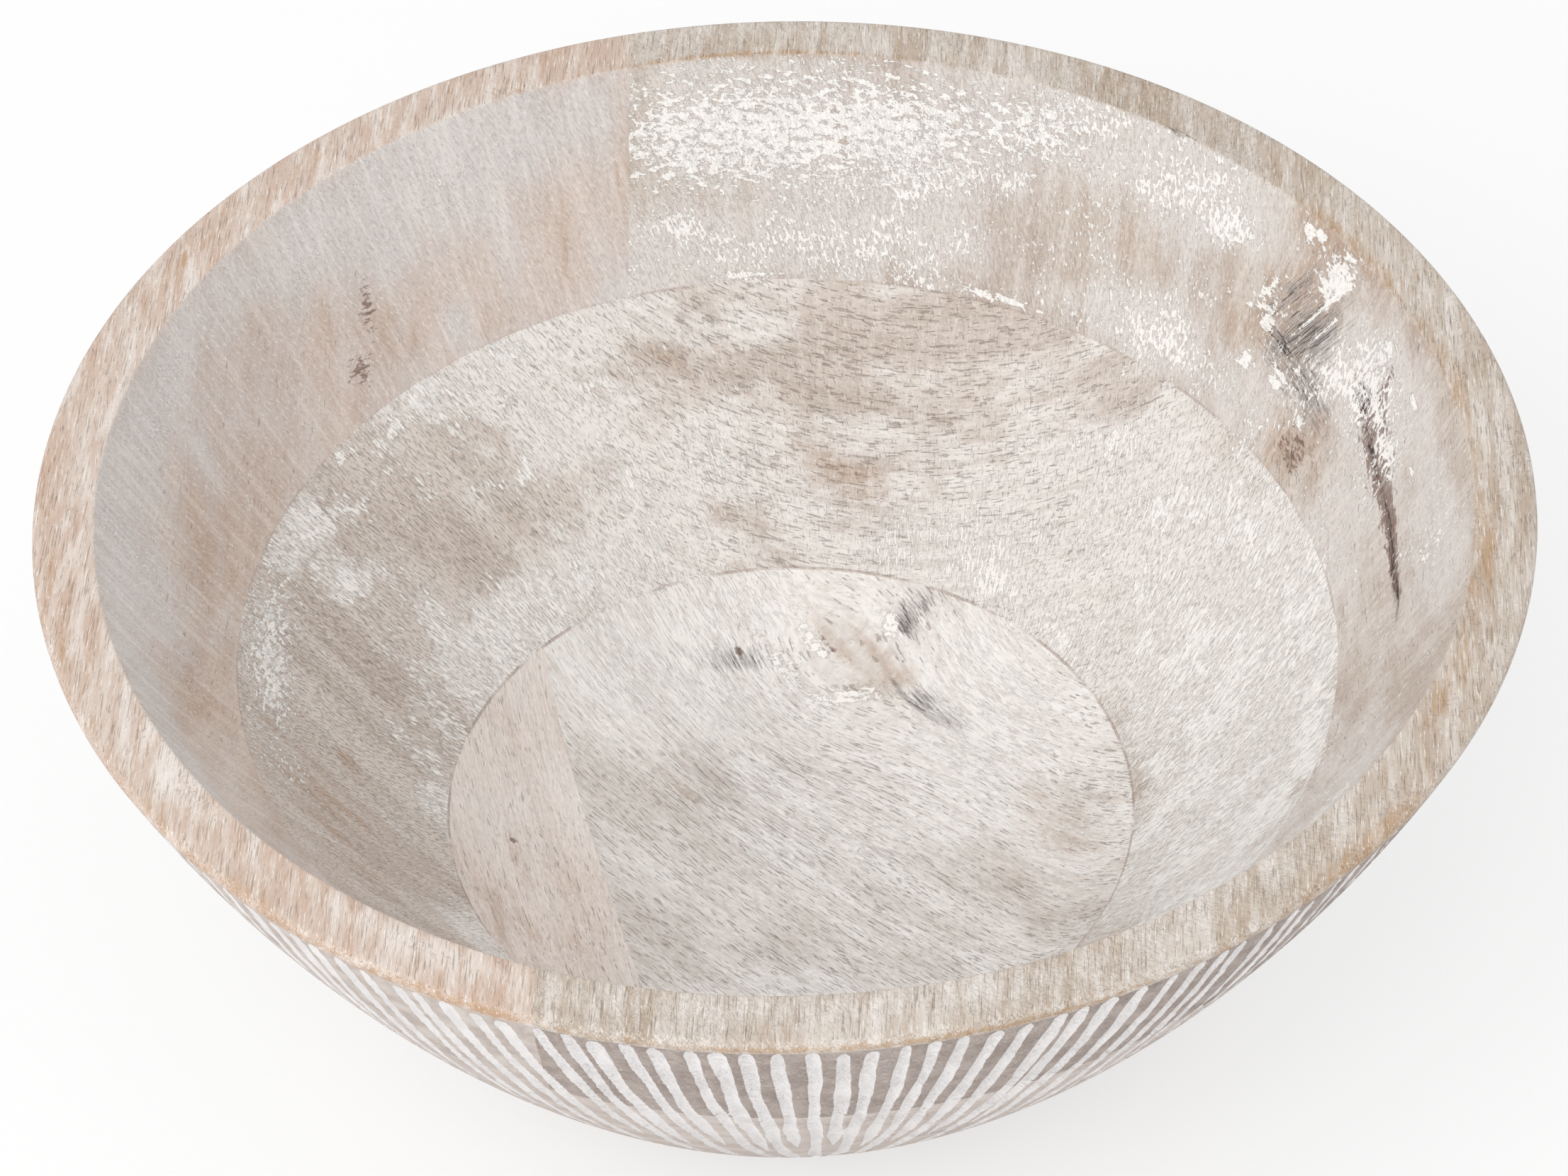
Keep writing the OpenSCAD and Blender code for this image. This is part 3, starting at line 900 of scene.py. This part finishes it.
def thin_wash(tree, at, look, cover):
    """Coats of the thin wash, and the heights of its patterns. Brown places hold less film. Wash and
    end grain seal the pores, and end grain shows pits in place of streaks."""
    colour, film_level, film_cover, film_soft = look["film"]
    pore_level, pore_cover, grainy = look["pores"]
    pits, end = look["pits"], at.field["end"]
    thick = add(tree, "Math", {"operation": "MULTIPLY_ADD"}, {0: at.field["brown"], 1: -0.3, 2: cover})
    sealed = add(tree, "Math", {"operation": "MULTIPLY_ADD"}, {0: at.field["wash"], 1: 0.8, 2: end})

    film = {"lift": (thick, 1.0), "level": film_level, "soft": film_soft}
    film = blots(tree, at.fibre, (26, 9), seed=4, detail=5, rough=0.66, **film)
    brown = {"lift": (at.field["brown"], 0.42), "level": 0.72, "soft": 0.12}
    brown = blots(tree, at.fibre, (16, 4), seed=5, detail=4, **brown)
    sweep = blots(tree, at.skin, (26, 2.2), seed=28, tilt=at.brush, level=0.56, soft=0.1)
    long_grain = {"lift": (end, -0.15), "level": 0.55}
    streak = blots(tree, at.fibre, (34, 1.2), seed=21, detail=4, soft=0.1, **long_grain)
    fine = blots(tree, at.fibre, (2.8, 0.45), seed=3, detail=2, soft=0.12, **long_grain)
    pore = {"lift": (sealed, -0.12), "level": pore_level}
    pore = blots(tree, at.fibre, (3.4, 0.35), seed=6, detail=2, rough=0.55, **pore)
    pit = blots(tree, at.skin, (2.0, 0.5), seed=7, tilt=at.crumb, lift=(end, 0.08), level=0.65)
    crust = blots(tree, at.skin, (1.3, 0.6), seed=27, tilt=at.crumb, rough=0.68)
    grit = add(tree, "MapRange", {}, {"Value": crust, "From Min": 0.54, "From Max": 0.68})
    dint = add(tree, "MapRange", {}, {"Value": crust, "From Min": 0.45, "From Max": 0.32})
    coats = [
        ("#ad8a6e", 0.45, brown),
        (colour, film_cover, film),
        ("#eae3dc", 0.28, sweep),
        ("#98826f", 0.24 * grainy, streak),
        ("#8a7667", 0.16 * grainy, fine),
        ("#7d6757", pore_cover, pore),
        ("#877970", pits, pit),
        ("#f2efeb", 0.45, grit),
        ("#937f70", 0.18, dint),
    ]
    return coats, [(pore, -0.6), (pit, -pits), (fine, -0.4 * grainy), (crust, 0.55)]


# %% [markdown]
# ## Knots, crack, crumbs and thick paint
# Bark and knots leave grey and rusty streaks in the wood, with black holes where it is open, so a
# stain is streaky and follows its mark. Over all of it lies the thick white: strokes of the brush,
# crumbs that stayed in the open grain, and on the rough end grain flakes of paint. A crumb or flake
# has a crisp edge and stands a little proud, and a thin brown ring of painted shade lies round it.

# %% Stains, crumbs and paint
# Stains: kind of mark, colour, cover, length and width of a streak, tilt on the wall, level, softness
stains = [
    ("dark", "#86807f", 0.65, (5.0, 0.7), 11, 0.74, 0.06),
    ("slate", "#938e8d", 0.7, (7.0, 0.5), 113, 0.72, 0.08),
    ("rust", "#6f5145", 0.75, (2.4, 0.9), 14, 0.76, 0.06),
    ("dark", "#45393a", 0.85, (4.0, 0.5), 11, 0.89, 0.04),
    ("slate", "#5f595b", 0.6, (5.0, 0.3), 113, 0.85, 0.05),
]
# Stains above this level are holes. Each stain's seed comes a step after the one before.
hole_level, stain_seed, stain_step = 0.8, 73, 7
# Where the wash is thick, crumbs cover what lies above this value, so that they stay apart
crumb_gap = 0.78
# Colour of the painted shade in a thin ring round each crumb and flake, and colour of the thick white
edge_shade, thick_white = "#a39385", "#f5f2ee"


def stained(tree, at, marked):
    """Coats of the stains that a board is marked with, and those of them that are holes."""
    coats, holes = [], []
    for kind, colour, cover, size, tilt, level, soft in stains:
        if kind in marked:
            seed, turn = stain_seed + stain_step * len(coats), 0 if at.on_floor else tilt
            streaky = {"lift": (at.field[kind], 0.5), "level": level, "soft": soft}
            stain = blots(tree, at.skin, size, seed, turn, detail=4, rough=0.72, **streaky)
            coats.append((colour, cover, stain))
            if level > hole_level:
                holes.append(stain)
    return coats, holes


def thick_wash(tree, at, look, cover, painted):
    """Coats of strokes, crumbs and flakes, a ring of painted shade round each crumb and flake, and
    their heights. Crumbs lie where the wash's cover and the open end grain add up, in patches."""
    level, strength, size = look["flecks"]
    patchy = blots(tree, at.skin, (14, 11), seed=20)
    crumbly = add(tree, "Math", {"operation": "MULTIPLY"}, {0: at.field["end"], 1: look["open"]})
    crumbly = add(tree, "Math", {"operation": "MULTIPLY_ADD"}, {0: cover, 1: 0.35, 2: crumbly})
    crumbly = add(tree, "Math", {"operation": "MINIMUM"}, {0: crumbly, 1: level - crumb_gap})
    crumbly = add(tree, "Math", {"operation": "MULTIPLY_ADD"}, {0: patchy, 1: 0.6, 2: crumbly})
    crumbs = blots(tree, at.skin, size, seed=8, tilt=at.crumb, detail=4, rough=0.62, lift=(crumbly, 1.0))
    fleck = {"Value": crumbs, "From Min": level - 0.03, "From Max": level + 0.03}
    fleck = add(tree, "MapRange", soft_step, fleck)
    # A thin ring just outside each crumb's edge, darkened as painted shade
    fleck_shade = {"Value": crumbs, "From Min": level - 0.06, "From Max": level - 0.03}
    fleck_shade = add(tree, "MapRange", soft_step, fleck_shade)
    stroke = {"lift": (cover, 0.4), "level": 0.88, "soft": 0.05}
    stroke = blots(tree, at.skin, (15, 0.9), seed=23, tilt=at.brush, rough=0.55, **stroke)
    coats = [
        ("#e9e5e1", 0.32, stroke),
        (edge_shade, 0.16 * strength, fleck_shade),
        ("#f4f1ed", strength, fleck),
    ]
    heights = [(fleck, 0.3)]
    if painted:
        flat = at.solid if at.on_floor else at.skin
        lift = (at.field["paint"], 0.5)
        flakes = blots(tree, flat, (2.3, 1.5), seed=9, tilt=12, detail=4, rough=0.68, lift=lift)
        # A thin ring just outside each flake's edge, darkened as painted shade
        flake_shade = {"Value": flakes, "From Min": 0.72, "From Max": 0.75}
        flake_shade = add(tree, "MapRange", soft_step, flake_shade)
        flake = add(tree, "MapRange", soft_step, {"Value": flakes, "From Min": 0.75, "From Max": 0.80})
        coats += [(edge_shade, 0.14, flake_shade), (thick_white, 0.95, flake)]
        heights.append((flake, 0.4))
    return coats, heights


print(len(stains), "stains, made by marks of", sorted({stain[0] for stain in stains}))

# %% [markdown]
# ## Joints, rim and outside
# A glue line shows as a thin brown line, rubbed away in places. The rim was sanded after the wash,
# so it has warm wood with white in its grain and dark ticks. Outside, the lands between the flutes
# are stained and the flutes are filled with paint up to a slightly uneven edge. These are functions
# of their own, because each board shows only some of them.

# %% Joints, rim and outside
# Half the width of a glue line, and how strongly the three lines show inside: low, high and edge joint
line_half = 0.25
glue = "#94786a"
line_coats = (("#8f7362", 0.5), (glue, 0.3), (glue, 0.12))


def joint_lines(tree, at, layer):
    """Glue lines: points whose distance along a joint's normal is within half a line of the joint."""
    worn = blots(tree, at.solid, (14, 14), seed=26, level=0.5, soft=0.1)
    distance, angle = joints[layer]
    facing = (math.cos(math.radians(angle)), math.sin(math.radians(angle)), 0)
    lines = []
    for offset, normal in ((mid_low, (0, 0, 1)), (top_low, (0, 0, 1)), (-distance, facing)):
        across = add(tree, "VectorMath", {"operation": "DOT_PRODUCT"}, {0: at.solid, 1: normal}, 1)
        gap = add(tree, "Math", {"operation": "COMPARE"}, {0: across, 1: offset, 2: line_half})
        lines.append(add(tree, "Math", {"operation": "MULTIPLY"}, {0: gap, 1: worn}))
    return lines


def sanded_rim(tree, at, look, grain, holes):
    """Colour of the rim: two tones of wood, brown places, white in the grain, ticks, and one hole."""
    tone = blots(tree, at.solid, (40, 8), seed=15, tilt=grain, level=0.5, soft=0.18)
    stain = {"lift": (at.field["brown"], 0.5), "level": 0.74, "soft": 0.16}
    stain = blots(tree, at.solid, (14, 2), seed=19, tilt=grain, detail=4, **stain)
    white = {"lift": (at.field["wash"], 0.2), "level": 0.58, "soft": 0.14}
    white = blots(tree, at.solid, (22, 3), seed=16, tilt=grain, detail=4, rough=0.65, **white)
    dash = blots(tree, at.solid, (5.0, 0.4), seed=17, tilt=grain, level=0.61)
    tick = blots(tree, at.solid, (5.0, 0.3), seed=18, tilt=grain, detail=2, rough=0.5, level=0.615)
    dark, pale = look["rim"]
    coats = [
        (pale, 1.0, tone),
        ("#b18a5f", 0.55, stain),
        ("#e9e4df", 0.6, white),
        ("#efebe6", 0.6, dash),
        ("#7d6a5c", 0.5, tick),
        *[("#5a4a42", 0.8, hole) for hole in holes[:1]],
    ]
    return coated(tree, linear(dark), coats)


def fluted_outside(tree, at, look, grain, lines):
    """Colour of the outside: stained lands with specks and glue lines, and paint in the flutes."""
    tone = blots(tree, at.solid, (60, 5), seed=11, tilt=grain, level=0.5, soft=0.16)
    speck = blots(tree, at.skin, (1.3, 0.9), seed=12, detail=2, level=0.66)
    filled = {"lift": (at.field["flute"], -1.6), "level": 0.5, "soft": 0.1}
    filled = blots(tree, at.skin, (2.2, 5), seed=13, detail=2, rough=0.5, **filled)
    thin = blots(tree, at.skin, (3, 9), seed=14, detail=2, rough=0.5, level=0.52, soft=0.18)
    filling = coated(tree, linear("#e9e6e5"), [("#dfdbda", 1.0, thin)])
    dark, pale = look["land"]
    coats = [(pale, 1.0, tone), ("#dcd6d0", 0.5, speck), *[(glue, 0.4, line) for line in lines]]
    return coated(tree, linear(dark), [*coats, (filling, 1.0, filled)])


print(f"glue lines are {2 * line_half:.1f} mm wide")

# %% [markdown]
# ## The whole finish
# The coats are laid in the order in which they came onto the bowl: wood, thin wash, stains that
# show through it, thick wash, glue lines, and last the sanded rim and the outside, each where the
# distance from the middle of the rim says so. The relief is shallow, a third of a millimetre, because
# the larger hollows are real geometry.

# %% Mixing the finish
bump_height = 0.3 * MM
hole_height = -1.0
# Matt paint: rough, with a weak shine
paint_rough, paint_shine = 0.8, 0.3
# Where the rim's colour starts and is full, and where the outside's is, from the middle of the rim
rim_from, rim_full = -rim_half - 0.4, -rim_half + 0.3
out_from, out_below_rim, out_soft = rim_half + rim_ease - 0.1, -0.4, 0.6


def whitewashed_wood(name, look):
    """The finish of one board, from the wood up."""
    material = bpy.data.materials.new(f"whitewashed_wood_{name}")
    material.use_nodes = True
    tree = material.node_tree
    shader = tree.nodes["Principled BSDF"]
    marked = {m[0] for m in [*wall_marks.get(name, []), *floor_marks.get(name, [])]}
    at, grain = places(tree, name), grains[name]
    lip = at.field["lip"]

    cover = wash_cover(tree, at)
    tone = blots(tree, at.fibre, (110, 11), seed=2, level=0.5, soft=0.16)
    thin_coats, thin_heights = thin_wash(tree, at, look, cover)
    stain_coats, holes = stained(tree, at, marked)
    thick_coats, thick_heights = thick_wash(tree, at, look, cover, "paint" in marked)
    lines = joint_lines(tree, at, name.split("_")[0])
    glue_coats = [(*coat, line) for coat, line in zip(line_coats, lines)]
    dark, pale = look["wood"]
    coats = [(pale, 1.0, tone), *thin_coats, *stain_coats, *thick_coats, *glue_coats]
    colour = coated(tree, linear(dark), coats)

    start = out_below_rim
    if "rim" in look:
        start = out_from
        is_rim = add(tree, "MapRange", {}, {"Value": lip, "From Min": rim_from, "From Max": rim_full})
        colour = coated(tree, colour, [(sanded_rim(tree, at, look, grain, holes), 1.0, is_rim)])
    is_out = add(tree, "MapRange", {}, {"Value": lip, "From Min": start, "From Max": start + out_soft})
    colour = coated(tree, colour, [(fluted_outside(tree, at, look, grain, lines), 1.0, is_out)])
    tree.links.new(colour, shader.inputs["Base Color"])

    raised = 0.0
    for pattern, height in [*thick_heights, *thin_heights, *[(hole, hole_height) for hole in holes]]:
        raised = add(tree, "Math", {"operation": "MULTIPLY_ADD"}, {0: pattern, 1: height, 2: raised})
    relief = add(tree, "Bump", {}, {"Strength": 1.0, "Distance": bump_height, "Height": raised})
    tree.links.new(relief, shader.inputs["Normal"])
    shader.inputs["Roughness"].default_value = paint_rough
    shader.inputs["Specular IOR Level"].default_value = paint_shine
    return material


for board in boards.values():
    board.data.materials.append(whitewashed_wood(board.name, looks[board.name]))
    print(board.name, "has", len(board.data.materials[0].node_tree.nodes), "nodes")

# %% [markdown]
# ## Light
# The bowl is shown in an even, bright studio. The sky gives most of the light, so that shadows stay
# soft, and one large softbox at the front on the left models the hollow. The camera sees the sky as
# plain white, whatever light it gives.

# %% Light
scene = bpy.context.scene
scene.view_settings.view_transform = "Standard"
sky_strength, key_power = 0.88, 15.0
key_place, key_target, key_size = (-0.7, -1.15, 1.35), (0, 0, 0.06), 1.2

world = bpy.data.worlds.new("studio")
scene.world = world
world.use_nodes = True
sky = world.node_tree
seen = add(sky, "LightPath", {}, {}, 0)
strength = add(sky, "MapRange", {}, {"Value": seen, "To Min": sky_strength, "To Max": 1.0})
sky.nodes["Background"].inputs["Color"].default_value = (1, 1, 1, 1)
sky.links.new(strength, sky.nodes["Background"].inputs["Strength"])


def softbox(name, place, target, size, power):
    """A square area lamp at a place, turned to face a target."""
    lamp = bpy.data.lights.new(name, "AREA")
    lamp.shape = "SQUARE"
    lamp.size = size
    lamp.energy = power
    box = bpy.data.objects.new(name, lamp)
    box.location = place
    box.rotation_euler = (Vector(target) - Vector(place)).to_track_quat("-Z", "Y").to_euler()
    scene.collection.objects.link(box)


softbox("key", key_place, key_target, key_size, key_power)
print(f"one softbox of {key_power:.0f} W, {math.dist(key_place, key_target):.2f} m away")

# %% [markdown]
# ## White paper
# The bowl stands on a sheet of white paper. Lit like the bowl, it would look light grey, so the
# camera sees more than half of it as plain white. The rest is real paper, which keeps the bowl's
# shadow. No more light falls on the bowl, because only what is seen, directly or mirrored, is changed.

# %% White paper
paper_half = 3.0
paper_rough, white_share = 0.9, 0.6
corners = paper_half * np.array([(-1, -1, 0), (1, -1, 0), (1, 1, 0), (-1, 1, 0)])
sheet = bpy.data.meshes.new("paper")
sheet.from_pydata(corners.tolist(), [], [(0, 1, 2, 3)])
floor = bpy.data.objects.new("paper", sheet)
scene.collection.objects.link(floor)
paper = bpy.data.materials.new("white_paper")
paper.use_nodes = True
tree = paper.node_tree
shader = tree.nodes["Principled BSDF"]
shader.inputs["Base Color"].default_value = linear("#f4f4f4")
shader.inputs["Roughness"].default_value = paper_rough
glow = add(tree, "Emission", {}, {"Color": (1, 1, 1, 1), "Strength": 1.0})
seen = add(tree, "LightPath", {}, {}, 0)
mirrored = add(tree, "LightPath", {}, {}, 3)
either = add(tree, "Math", {"operation": "MAXIMUM"}, {0: seen, 1: mirrored})
share = add(tree, "Math", {"operation": "MULTIPLY"}, {0: either, 1: white_share})
mixed = add(tree, "MixShader", {}, {0: share, 1: shader.outputs[0], 2: glow})
tree.links.new(mixed, tree.nodes["Material Output"].inputs["Surface"])
sheet.materials.append(paper)
print(f"paper {2 * paper_half:.0f} m wide")
